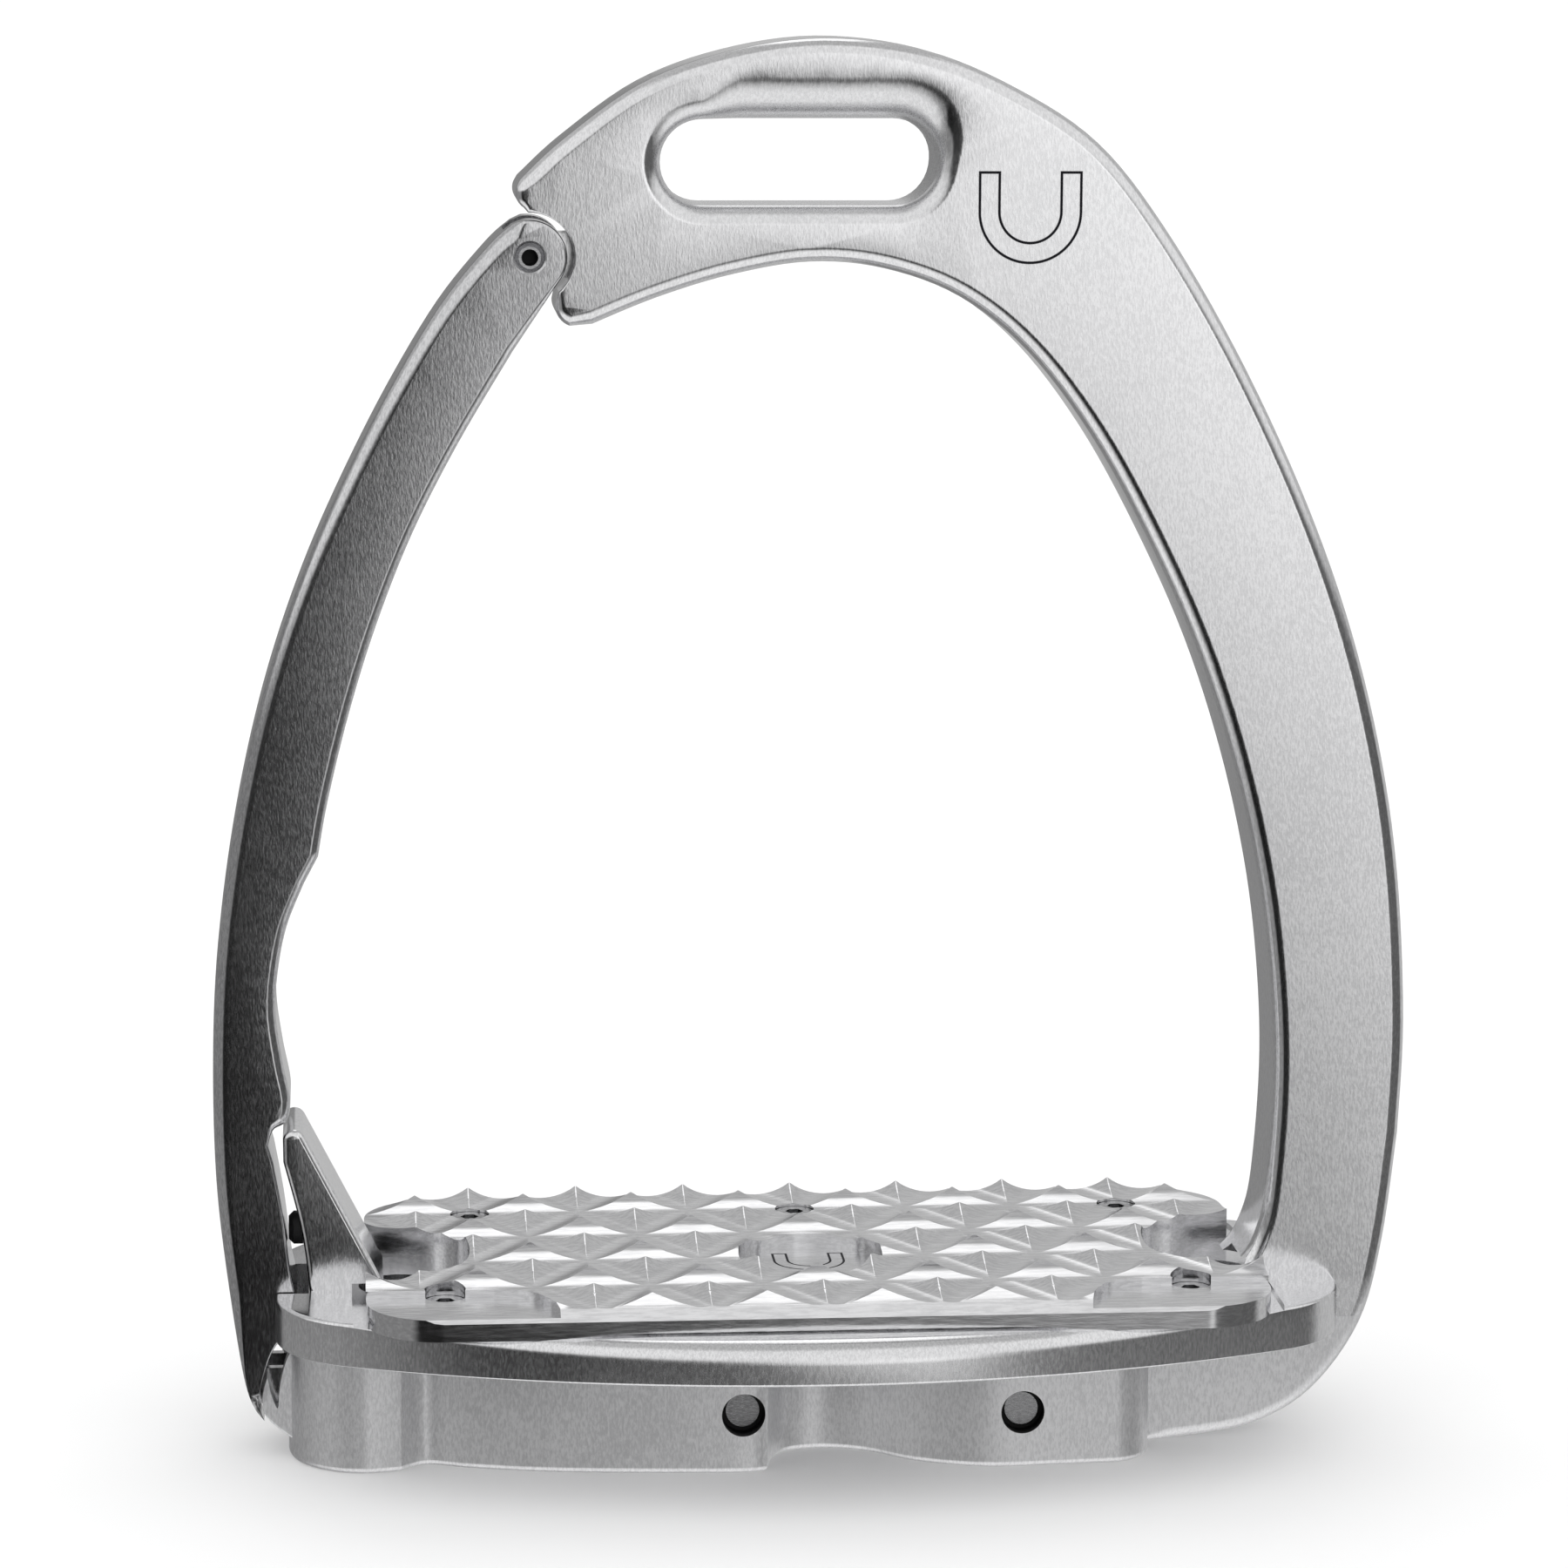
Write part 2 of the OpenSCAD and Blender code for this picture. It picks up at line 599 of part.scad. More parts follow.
module cover_screws() {
    color("silver") for (s = cover_screws_at) translate([s[0], s[1], 0]) difference() {
        union() {
            translate([0, 0, 0.2]) cylinder(r = cover_screw_r, h = 8);
            translate([0, 0, 0.08]) cylinder(r = 2.15, h = 0.7);
        }
        cylinder(r = 0.8, h = 1.2, $fn = 6);
    }
}

module foot_bumper() {
    length = 6;
    color("black") translate([-62.7, 0, bumper_z]) rotate([0, 90, 0]) {
        translate([0, 0, 0.6]) cylinder(r = bumper_r, h = length - 0.6);
        cylinder(r1 = bumper_r - 0.6, r2 = bumper_r, h = 0.6);
    }
}

frame();
release_arm();
hinge_pin();
hinge_nut();
hinge_bush_front();
hinge_bush_rear();
tread_plate();
tread_screws_front();
tread_screws_rear();
latch_blade();
latch_anchor();
blade_screws();
latch_hook();
hook_rivets();
latch_pins();
fulcrum_roller();
strike_pin();
adjuster_screw();
base_cover();
cover_gasket();
cover_screws();
foot_bumper();
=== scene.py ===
"""The stirrup iron's looks: rounded metal shells and a milled tread around the CAD frame, in studio
light. Shapes are in millimetres and become metres in mesh_object; materials and light are in metres."""

import json
import math

import bmesh
import bpy
from mathutils import Matrix, Vector
from mathutils.geometry import delaunay_2d_cdt


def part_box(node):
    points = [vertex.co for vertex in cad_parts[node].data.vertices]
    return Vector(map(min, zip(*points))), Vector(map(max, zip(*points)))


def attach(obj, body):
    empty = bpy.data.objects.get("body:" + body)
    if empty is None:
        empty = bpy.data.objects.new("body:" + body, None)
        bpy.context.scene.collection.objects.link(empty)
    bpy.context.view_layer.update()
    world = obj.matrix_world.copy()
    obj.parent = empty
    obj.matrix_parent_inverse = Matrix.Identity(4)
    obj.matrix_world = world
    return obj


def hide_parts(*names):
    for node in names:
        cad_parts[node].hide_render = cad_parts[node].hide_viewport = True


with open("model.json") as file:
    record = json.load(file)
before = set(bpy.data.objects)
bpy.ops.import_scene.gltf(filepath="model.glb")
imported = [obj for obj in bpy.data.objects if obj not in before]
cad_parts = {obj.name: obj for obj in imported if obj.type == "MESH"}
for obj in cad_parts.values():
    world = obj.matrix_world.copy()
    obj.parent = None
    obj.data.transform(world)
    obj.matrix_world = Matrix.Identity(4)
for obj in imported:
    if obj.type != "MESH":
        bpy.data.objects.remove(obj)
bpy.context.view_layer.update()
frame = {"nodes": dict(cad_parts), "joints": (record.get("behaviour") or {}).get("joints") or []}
nodes = frame["nodes"]
MM = 0.001

# Sizes and places in millimetres, the same as in the CAD frame
hinge = frame["joints"][0]["pos_m"]
PIVOT = (hinge[0] / MM, hinge[2] / MM)
HALF_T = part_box("release_arm")[1].y / MM    # half thickness of the arch, the arms and the post
HULL_H = 15.4                  # height of the under-body below the flange
FLANGE_TOP = 20.6
TREAD_BASE = 20.2              # underside of the tread plate
SLOT_MID = (-2.1, 154.85)      # strap slot, in X and Z
SLOT_W = 32.4
SLOT_H = 9.9
SLOT_EDGE_R = 2.3              # rounds the slot's edge at its ends and bottom
BAR_ROUND_R = 5.0              # rounds the bar over the slot
TONGUE_HALF = 2.2              # the hinge tongue between the arm's two ears
TONGUE_R = 3.5
TONGUE_GAP_R = 3.9
TONGUE_BORE_R = 2.06
EAR_INNER = 2.6                # half the gap between the ears
SEAT_R = 5.2                   # the arch's seat around the arm's head
HEAD_R = 4.35
BORE_R = 1.52                  # bore for the hinge pin and for the tread screws
PIN_R = 1.5
PIN_HEAD_R = 1.7
PIN_HEAD_Y = -5                # the pin's head rests here, and its nut reaches in to NUT_Y
PIN_SEAT_R = 1.72
HEX_R = 1.0                    # hex socket in the pin's head
NUT_Y = 4
NUT_SEAT_R = 2.42
POCKET_HALF = 4.0              # latch pocket in the under-body, with its mouth in the toe
POCKET_X = (-56, 34.5)
POCKET_TOP = 13.6
MOUTH_BOTTOM = 5
WINDOW = (49.4, -2.4)          # round windows in the flange; the right one also cuts the arch's foot
WINDOW_R = 5
BUMPER_Z = 27
BUMPER_BORE_R = 2.02
LATCH_PINS = [(-8.9, 7.2), (24.6, 6.8)]
LATCH_BORE_R = 2.02
COUNTERBORE_R = 2.6
COUNTERBORE_Y = 13.6
COVER_SCREWS = [(x, y) for x in (-38, 16) for y in (-8.2, 8.2)]
COVER_BORE_R = 1.27
COVER_EAR_R = 3.3
TREAD_X = 53.6                 # half length of the tread
TREAD_FRONT = -28.0
TREAD_REAR = 25.2
TREAD_CORNER_R = 9.0
NOTCH = (TREAD_X, -0.8)        # round notch in each end of the tread
NOTCH_R = 12.6
PAD_TOP = 22.8                 # smooth pads at the tread's front corners
SPIKE_PITCH = 13.5
SPIKE_TIP = 25.2
SPIKE_ROW = SPIKE_PITCH * math.sqrt(3) / 2
GROOVE_R = 5.6
GROOVE_FLOOR = 23.7
MEDAL = (0, -4.6)              # round recess in the middle of the tread
MEDAL_R = 8.7
MEDAL_FLOOR = 22.5
FRONT_SCREWS = [(-44.3, -17.4), (44.3, -17.4)]
REAR_SCREWS = [(i * SPIKE_PITCH, 1.5 * SPIKE_ROW) for i in (-3, 0, 3)]
FRONT_SEAT = TREAD_BASE + 0.8  # where the tread screws' heads rest
REAR_SEAT = TREAD_BASE + 1.9


# ---- outlines ----------------------------------------------------------------------------------

def arc(centre, radius, start, end, steps=8):
    """Points on an arc, in degrees."""
    turns = (math.radians(start + (end - start) * i / steps) for i in range(steps + 1))
    return [Vector(centre) + radius * Vector((math.cos(a), math.sin(a))) for a in turns]


def curve(points, steps=6):
    """A smooth open curve through every point."""
    p = [Vector(q) for q in points]
    out = []
    for i in range(len(p) - 1):
        a, b, c, d = p[max(i - 1, 0)], p[i], p[i + 1], p[min(i + 2, len(p) - 1)]
        for k in range(steps):
            t = k / steps
            out.append(0.5 * (2 * b + (c - a) * t + (2 * a - 5 * b + 4 * c - d) * t * t
                              + (3 * b - a - 3 * c + d) * t ** 3))
    return out + [p[-1]]


def edged(points, radius):
    """The points as (point, edge rounding) pairs."""
    return [(Vector(p), radius) for p in points]


def fading(points, radius, start, reach):
    """The points with an edge rounding that grows from 0 at height start to radius at start + reach."""
    return [(p, radius * min(1, max(0, (p.y - start) / reach))) for p in points]


def mirrored(points):
    return [Vector((p.x, -p.y)) for p in reversed(points)]


def signed_area(loop):
    return sum(p.x * q.y - q.x * p.y for p, q in zip(loop, loop[1:] + loop[:1])) / 2


def eased(loop, reach=5.0):
    """The loop with its edge rounding averaged over reach mm, so that it fades in and out."""
    out = []
    n = len(loop)
    for i, (p, r) in enumerate(loop):
        total = weight = 0.0
        for step in (-1, 1):
            run = 0.0
            k = i
            while run < reach:
                share = 1 - run / reach
                total += share * loop[k % n][1]
                weight += share
                run += (loop[(k + step) % n][0] - loop[k % n][0]).length
                k += step
        out.append((p, total / weight))
    return out


# ---- meshes ------------------------------------------------------------------------------------

def link(name, mesh):
    obj = bpy.data.objects.new(name, mesh)
    bpy.context.scene.collection.objects.link(obj)
    return obj


def mesh_object(name, verts, faces):
    """A mesh from points in mm, with its faces turned outwards."""
    mesh = bpy.data.meshes.new(name)
    mesh.from_pydata([Vector(v) * MM for v in verts], [], faces)
    bm = bmesh.new()
    bm.from_mesh(mesh)
    bmesh.ops.recalc_face_normals(bm, faces=bm.faces)
    bm.to_mesh(mesh)
    bm.free()
    return link(name, mesh)


def is_inside(p, loop):
    hit = False
    for a, b in zip(loop, loop[1:] + loop[:1]):
        if (a.y > p.y) != (b.y > p.y) and p.x < a.x + (p.y - a.y) * (b.x - a.x) / (b.y - a.y):
            hit = not hit
    return hit


def inward(loop, hole):
    """The direction into the metal at each point of a loop, stretched at corners."""
    out = []
    for i, p in enumerate(loop):
        a = (p - loop[i - 1]).normalized()
        b = (loop[(i + 1) % len(loop)] - p).normalized()
        n = Vector((-a.y - b.y, a.x + b.x))
        n = n / max(n.length_squared / 2, 0.7)
        out.append(-n if hole else n)
    return out


def fill(loops):
    """Triangles, as indices over all loops, for the area inside the first loop and outside the rest."""
    points = [p for loop in loops for p in loop]
    edges = []
    first = 0
    for loop in loops:
        edges += [(first + i, first + (i + 1) % len(loop)) for i in range(len(loop))]
        first += len(loop)
    verts, _, faces, origin = delaunay_2d_cdt(points, edges, [], 2, 1e-7)[:4]
    good = []
    for face in faces:
        mid = sum((verts[i] for i in face), Vector((0, 0))) / len(face)
        if is_inside(mid, loops[0]) and not any(is_inside(mid, hole) for hole in loops[1:]):
            good.append([origin[i][0] for i in face])
    return good


LEAST_R = 0.004                # a sharp edge's rounding, which keeps its rings of points apart


def slab(name, loops, axis, low, high, share_low=1.0, share_high=1.0, steps=5):
    """A plate between low and high along axis. loops holds its outline and then its holes, as
    (point, rounding) pairs; the shares scale the rounding of the low and the high edge."""
    levels = [(k / steps, -1) for k in range(steps, -1, -1)] + [(k / steps, 1) for k in range(steps + 1)]
    verts = []
    faces = []
    caps = {0: [], len(levels) - 1: []}
    ids = {0: [], len(levels) - 1: []}
    for number, loop in enumerate(loops):
        loop = loop if signed_area([p for p, r in loop]) > 0 else loop[::-1]
        base = len(verts)
        count = len(loop)
        dirs = inward([p for p, r in loop], number > 0)
        for k, (t, side) in enumerate(levels):
            turn = t * math.pi / 2
            ring = []
            for (p, r), d in zip(loop, dirs):
                r = max(r * (share_low if side < 0 else share_high), LEAST_R)
                ring.append(p + d * r * (1 - math.cos(turn)) if t else p.copy())
                height = low + r - r * math.sin(turn) if side < 0 else high - r + r * math.sin(turn)
                co = list(ring[-1])
                co.insert(axis, height)
                verts.append(co)
            if k in caps:
                caps[k].append(ring)
                ids[k] += range(base + k * count, base + (k + 1) * count)
        for k in range(len(levels) - 1):
            for i in range(count):
                j = (i + 1) % count
                a = base + k * count
                b = a + count
                faces.append([a + i, a + j, b + j, b + i][::-1 if number else 1])
    for k in caps:
        faces += [[ids[k][i] for i in face][::1 if k else -1] for face in fill(caps[k])]
    return mesh_object(name, verts, faces)


def prism(points, axis, low, high):
    loop = edged(points, 0)
    return slab("cutter", [loop], axis, low, high, steps=1)


def rod(centre, radius, axis, low, high, sides=64):
    return prism(arc(centre, radius, 0, 360 - 360 / sides, sides - 1), axis, low, high)


def block(low, high, turn=0, about=(0, 0, 0)):
    """A box between two corners, turned by turn degrees about a line along Y through about."""
    corners = [(low[0], low[2]), (high[0], low[2]), (high[0], high[2]), (low[0], high[2])]
    spin = Matrix.Rotation(math.radians(turn), 2)
    middle = Vector((about[0], about[2]))
    return prism([middle + spin @ (Vector(c) - middle) for c in corners], 1, low[1], high[1])


def turned(centre, axis, profile, sides=64):
    """A turned solid about an axis; profile holds (radius, height) from the axis out and back."""
    verts = []
    for r, h in profile:
        for k in range(sides):
            a = 2 * math.pi * k / sides
            co = [centre[0] + r * math.cos(a), centre[1] + r * math.sin(a)]
            co.insert(axis, h)
            verts.append(co)
    faces = [list(range(sides)), [(len(profile) - 1) * sides + k for k in range(sides)]]
    for j in range(len(profile) - 1):
        for k in range(sides):
            n = (k + 1) % sides
            faces.append([j * sides + k, j * sides + n, (j + 1) * sides + n, (j + 1) * sides + k])
    return mesh_object("cutter", verts, faces)


def combine(obj, others, how):
    """Boolean of obj with all the others at once; the others are removed."""
    group = bpy.data.collections.new("cutters")
    for other in others:
        group.objects.link(other)
    mod = obj.modifiers.new("combine", "BOOLEAN")
    mod.operation = how
    mod.solver = "EXACT"
    mod.operand_type = "COLLECTION"
    mod.collection = group
    bpy.context.view_layer.update()
    done = bpy.data.meshes.new_from_object(obj.evaluated_get(bpy.context.evaluated_depsgraph_get()))
    obj.modifiers.clear()
    obj.data = done
    for other in others:
        bpy.data.objects.remove(other)
    bpy.data.collections.remove(group)
    return obj


def finish_mesh(obj, angle):
    """Welds the mesh, shades it smooth with edges over angle kept sharp, and keeps flats flat."""
    bm = bmesh.new()
    bm.from_mesh(obj.data)
    bmesh.ops.remove_doubles(bm, verts=bm.verts, dist=0.002 * MM)
    bm.to_mesh(obj.data)
    bm.free()
    obj.data.shade_smooth()
    obj.data.set_sharp_from_angle(angle=math.radians(angle))
    normals = obj.modifiers.new("normals", "WEIGHTED_NORMAL")
    normals.keep_sharp = True
    normals.weight = 80


# ---- body shell --------------------------------------------------------------------------------

ARCH_OUTER = [(-34.6, 152.9), (-29.6, 157.5), (-20.6, 163.9), (-10.6, 167.6), (0.6, 169.2),
              (12.6, 167.8), (23.4, 163.4), (33, 157.1), (41, 147.3), (49.7, 133), (57.6, 117),
              (63.6, 101.6), (67.9, 86), (70.6, 70), (71.8, 52), (71.4, 38)]
HEEL = [(71.4, 38), (69.8, 24.5), (67.2, 14.2), (61.4, 5.9), (54, 1.6), (44, 0)]
ARCH_INNER = [(46, 20), (51.5, 21.6), (54.4, 26.5), (55.5, 34), (56, 46), (55.3, 58), (53.6, 70),
              (50.4, 83.5), (45.7, 97.4), (39.4, 111), (32.6, 123), (25, 132.8), (16.9, 139.2),
              (8, 142.5), (-0.8, 143.3), (-10, 141.8), (-18.6, 139.2), (-26.2, 136.1)]
HOOK = arc((-28, 138.3), 2.55, 250, 180, 8)
SEAT = arc(PIVOT, SEAT_R, -50, 92, 24)
NOSE = arc((-33.1, 151.4), 2.05, 238, 160, 8)
POST_TOP = arc((-61.9, 39.1), 1.35, 30, 170, 10)
POST_SIDE = [(-63.2, 36.5), (-61.4, 29.3), (-60.5, 23.3), (-59.8, HULL_H)]
TOE_UNDER = [(-58.6, 0), (-62.6, 2.6), (-65.5, 5.2), (-66, 7.6), (-65.4, 10.2)]
TOE_INSIDE = [(-65, 8.2), (-64.2, 6.3), (-63.9, 9), (-63, 12.5), (-61.2, HULL_H)]
FOOT_GAP = [(-72, 22), (-63.6, 24), (-60.4, 22), (-60.2, 17.4), (-61.6, 15.6), (-63.2, 12.4),
            (-64, 9), (-64.2, 6.4), (-64.9, 8.2), (-65.5, 10.5), (-72, 12)]
FULL_R = 1.8                   # edge rounding of the arch and the outside of the arm
INNER_R = 1.1                  # edge rounding along the inside of the arm


def slot_loop():
    """The strap slot: round ends and flared edges, with the bar over it rounded more."""
    reach = (SLOT_W - SLOT_H) / 2
    x, z = SLOT_MID
    grown = BAR_ROUND_R - SLOT_EDGE_R
    fade = 4
    steps = 16
    bar = [Vector((x + reach - 2 * reach * i / steps, z + SLOT_H / 2)) for i in range(1, steps)]
    right = arc((x + reach, z), SLOT_H / 2, -90, 90, 20)
    loop = [(p, SLOT_EDGE_R + r) for p, r in fading(right, grown, z, fade)]
    loop += [(p, SLOT_EDGE_R + grown * min(1, (p.x - x + reach) / fade)) for p in bar]
    loop += edged(arc((x - reach, z), SLOT_H / 2, 90, 270, 20), SLOT_EDGE_R)
    return eased(loop, 2.0)


def flange_loop():
    """The flange: a wide arc along each long edge and a smaller one at each corner."""
    wide, small, half, x0, x1 = 133.0, 14.0, 33.0, -64.3, 63.5
    middle = Vector((0, wide - half))

    def corner(x):
        return Vector((x, middle.y - math.sqrt((wide - small) ** 2 - x * x)))

    left = corner(x0 + small)
    right = corner(x1 - small)
    left_turn = math.degrees(math.asin(-left.x / (wide - small)))
    right_turn = math.degrees(math.asin(right.x / (wide - small)))
    front = (arc(left, small, 180, 270 - left_turn, 12)
             + arc(middle, wide, 270 - left_turn, 270 + right_turn, 40)[1:-1]
             + arc(right, small, 270 + right_turn, 360, 12))
    return front + mirrored(front)


def flange_edge():
    """The flange's outline, rounded most where it bulges out in the middle of each long edge."""
    small, large, spread = 0.5, 2.7, 56.0
    return [(p, small + (large - small) * max(0.0, 1 - (p.x / spread) ** 2)) for p in flange_loop()]


def hull_loop():
    """The under-body: a round left end, two shallow hollows on each side and a round right end."""
    front = (arc((-53.4, -3.9), 9.5, 176, 272, 16)
             + curve([(-49.6, -12.7), (-46.4, -10.4), (-41, -12.2), (-30, -14.6), (-11, -16.2),
                      (-6, -15.6)])
             + curve([(-5.4, -12.4), (-3.4, -8.2), (1.2, -6.9), (6.4, -8.6), (12, -13), (20, -15.8),
                      (28, -15.6)])
             + arc((35, -9.6), 5.6, 282, 360, 12))
    return front + mirrored(front)


def tread_loop():
    r = TREAD_CORNER_R
    x = TREAD_X - r
    return (arc((-x, TREAD_FRONT + r), r, 180, 270, 12) + arc((x, TREAD_FRONT + r), r, 270, 360, 12)
            + arc((x, TREAD_REAR - r), r, 0, 90, 12) + arc((-x, TREAD_REAR - r), r, 90, 180, 12))


def cover_recess():
    """The recess for the base cover and its ears."""
    x0, x1, half, depth = -55.1, 36.1, 5.3, 2
    parts = [block((x0, -half, -1), (x1, half, depth))]
    for x, y in COVER_SCREWS:
        parts.append(rod((x, y), COVER_EAR_R, 2, -1, depth))
        if y > 0:
            parts.append(block((x - COVER_EAR_R, -y, -1), (x + COVER_EAR_R, y, depth)))
    return parts


def build_body():
    """The frame: the arch with its heel, the post, the toe, the under-body and the flange, less
    every hole. The ends of the plates that lie inside another one stay sharp."""
    hook_r, seat_r, nose_r, post_r, toe_r = 1.3, 0.15, 1.0, 0.7, 0.25
    neck_half = 2.6
    neck_end = PIVOT[0] + 8
    plate = edged(curve(ARCH_OUTER), FULL_R) + edged(curve(HEEL)[1:], FULL_R)
    plate += edged([(38, 0), (38, 18)], 0)
    plate += edged(curve(ARCH_INNER), FULL_R)
    plate += edged(HOOK, hook_r) + edged(SEAT, seat_r) + edged(NOSE, nose_r)
    body = slab("body_shell", [eased(plate, 3.0), slot_loop()], 1, -HALF_T, HALF_T)
    post = edged([(-50.4, FLANGE_TOP - 1)], post_r) + edged(POST_TOP, post_r)
    post += fading(curve(POST_SIDE), post_r, HULL_H + 1, 2)
    toe = edged([(-50, 0)], 0)
    toe += fading(curve(TOE_UNDER, 4), toe_r, 7.5, -3)
    toe += edged(curve(TOE_INSIDE, 4), 0) + edged([(-50, HULL_H)], 0)
    combine(body, [
        slab("post", [post], 1, -HALF_T, HALF_T),
        slab("toe", [toe], 1, -HALF_T, HALF_T, steps=3),
        rod(PIVOT, TONGUE_R, 1, -TONGUE_HALF, TONGUE_HALF),
        block((PIVOT[0], -TONGUE_HALF, PIVOT[1] - neck_half),
              (neck_end, TONGUE_HALF, PIVOT[1] + neck_half)),
        slab("hull", [edged(hull_loop(), 0.8)], 2, 0, HULL_H + 1, 1, 0.01),
        slab("flange", [flange_edge()], 2, HULL_H, FLANGE_TOP, 0.14, 1),
    ], "UNION")
    under_tread = [p * 1.03 for p in tread_loop()]
    cutters = [prism(FOOT_GAP, 1, -HALF_T - 0.4, HALF_T + 0.4),
               rod(PIVOT, TONGUE_BORE_R, 1, -TONGUE_HALF - 1, TONGUE_HALF + 1),
               block((-70, -POCKET_HALF, MOUTH_BOTTOM), (-55, POCKET_HALF, POCKET_TOP)),
               block((POCKET_X[0], -POCKET_HALF, -1), (POCKET_X[1], POCKET_HALF, POCKET_TOP)),
               prism(under_tread, 2, TREAD_BASE, FLANGE_TOP + 1),
               rod((-WINDOW[0], WINDOW[1]), WINDOW_R, 2, POCKET_TOP - 1, FLANGE_TOP + 1),
               rod(WINDOW, WINDOW_R, 2, POCKET_TOP, FLANGE_TOP + 2),
               rod((0, BUMPER_Z), BUMPER_BORE_R, 0, -64, -56)]
    cutters += cover_recess()
    outside = 20
    for p in LATCH_PINS:
        cutters.append(turned(p, 1, [(0, -outside), (COUNTERBORE_R, -outside),
                                     (COUNTERBORE_R, -COUNTERBORE_Y), (LATCH_BORE_R, -COUNTERBORE_Y),
                                     (LATCH_BORE_R, COUNTERBORE_Y), (COUNTERBORE_R, COUNTERBORE_Y),
                                     (COUNTERBORE_R, outside), (0, outside)]))
    cutters += [rod(p, BORE_R, 2, HULL_H - 1, FLANGE_TOP + 1) for p in FRONT_SCREWS + REAR_SCREWS]
    cutters += [rod(p, COVER_BORE_R, 2, 0, 9) for p in COVER_SCREWS]
    return combine(body, cutters, "DIFFERENCE")


# ---- arm shell ---------------------------------------------------------------------------------

ARM_OUTER = [(-35.5, 147.7), (-38.4, 145.1), (-44.1, 138.1), (-50.2, 128), (-55.8, 117), (-60.2, 107),
             (-64, 96.2), (-66.9, 85.3), (-69.2, 73.5), (-70.8, 61), (-71.4, 48), (-71.2, 34.5),
             (-70.1, 22.9), (-68.4, 11.3), (-67.2, 6.9), (-65.8, 4.8)]
ARM_FOOT = [(-66.6, 7), (-65.9, 10.2), (-64.6, 13.6), (-62.3, 16.6), (-61.8, 19.4), (-62.5, 23.3),
            (-63.3, 30.1), (-64.4, 36.5)]
ARM_NOTCH = [(-65, 38.6), (-64.4, 40.4), (-62.8, 41.4), (-62.3, 44), (-63.2, 49), (-63.9, 54.6),
             (-63.6, 59.5), (-62.5, 65), (-60.4, 70.2)]
ARM_INNER = [(-58.7, 73.4), (-57.5, 80), (-54.9, 90.5), (-51.6, 101), (-47.3, 111.8), (-41.9, 122.3),
             (-35.5, 133)]
STRIKE = (-57.6, 8.1)          # dowel across the forked foot
STRIKE_BORE_R = 1.42
FOOT_EDGE_R = 0.3
NOTCH_Z = 40.5                 # the rounding of the inside starts here
FORK_Y = 3.2                   # middle of each prong of the fork
FORK_HALF = 0.6


def build_arm():
    """The release arm: its plate and two prongs, less the pin's bore, the gap between its ears and
    the gap in its foot."""
    head_r = 0.35
    outline = edged(arc(PIVOT, HEAD_R, -38, 100, 24), head_r)
    outline += fading(curve(ARM_OUTER), FULL_R, 8, 12)
    outline += fading(curve(ARM_FOOT), FOOT_EDGE_R, 8, 8)
    outline += [(p, FOOT_EDGE_R if p.y < NOTCH_Z else INNER_R) for p in curve(ARM_NOTCH)]
    outline += edged(curve(ARM_INNER), INNER_R)
    arm = slab("arm_shell", [eased(outline, 1.5)], 1, -HALF_T, HALF_T)
    combine(arm, [block((-67, y - FORK_HALF, 6.2), (-55.8, y + FORK_HALF, 10.6))
                  for y in (-FORK_Y, FORK_Y)], "UNION")
    end = HALF_T + 1
    chamfer = 0.25
    bore = [(0, -end), (PIN_SEAT_R + chamfer, -end), (PIN_SEAT_R + chamfer, -HALF_T),
            (PIN_SEAT_R, -HALF_T + chamfer), (PIN_SEAT_R, PIN_HEAD_Y), (BORE_R, PIN_HEAD_Y),
            (BORE_R, -EAR_INNER), (TONGUE_GAP_R, -EAR_INNER), (TONGUE_GAP_R, EAR_INNER),
            (BORE_R, EAR_INNER), (BORE_R, NUT_Y), (NUT_SEAT_R, NUT_Y), (NUT_SEAT_R, end), (0, end)]
    x, z = PIVOT
    foot_gap = FORK_Y - FORK_HALF
    return combine(arm, [
        turned(PIVOT, 1, bore),
        block((x - 10, -EAR_INNER, z), (x + 10, EAR_INNER, z + 12), -45, (x, 0, z)),
        rod(STRIKE, STRIKE_BORE_R, 1, -HALF_T, HALF_T),
        block((-66.2, -foot_gap, 5), (-54.2, foot_gap, 14)),
    ], "DIFFERENCE")


# ---- tread -------------------------------------------------------------------------------------

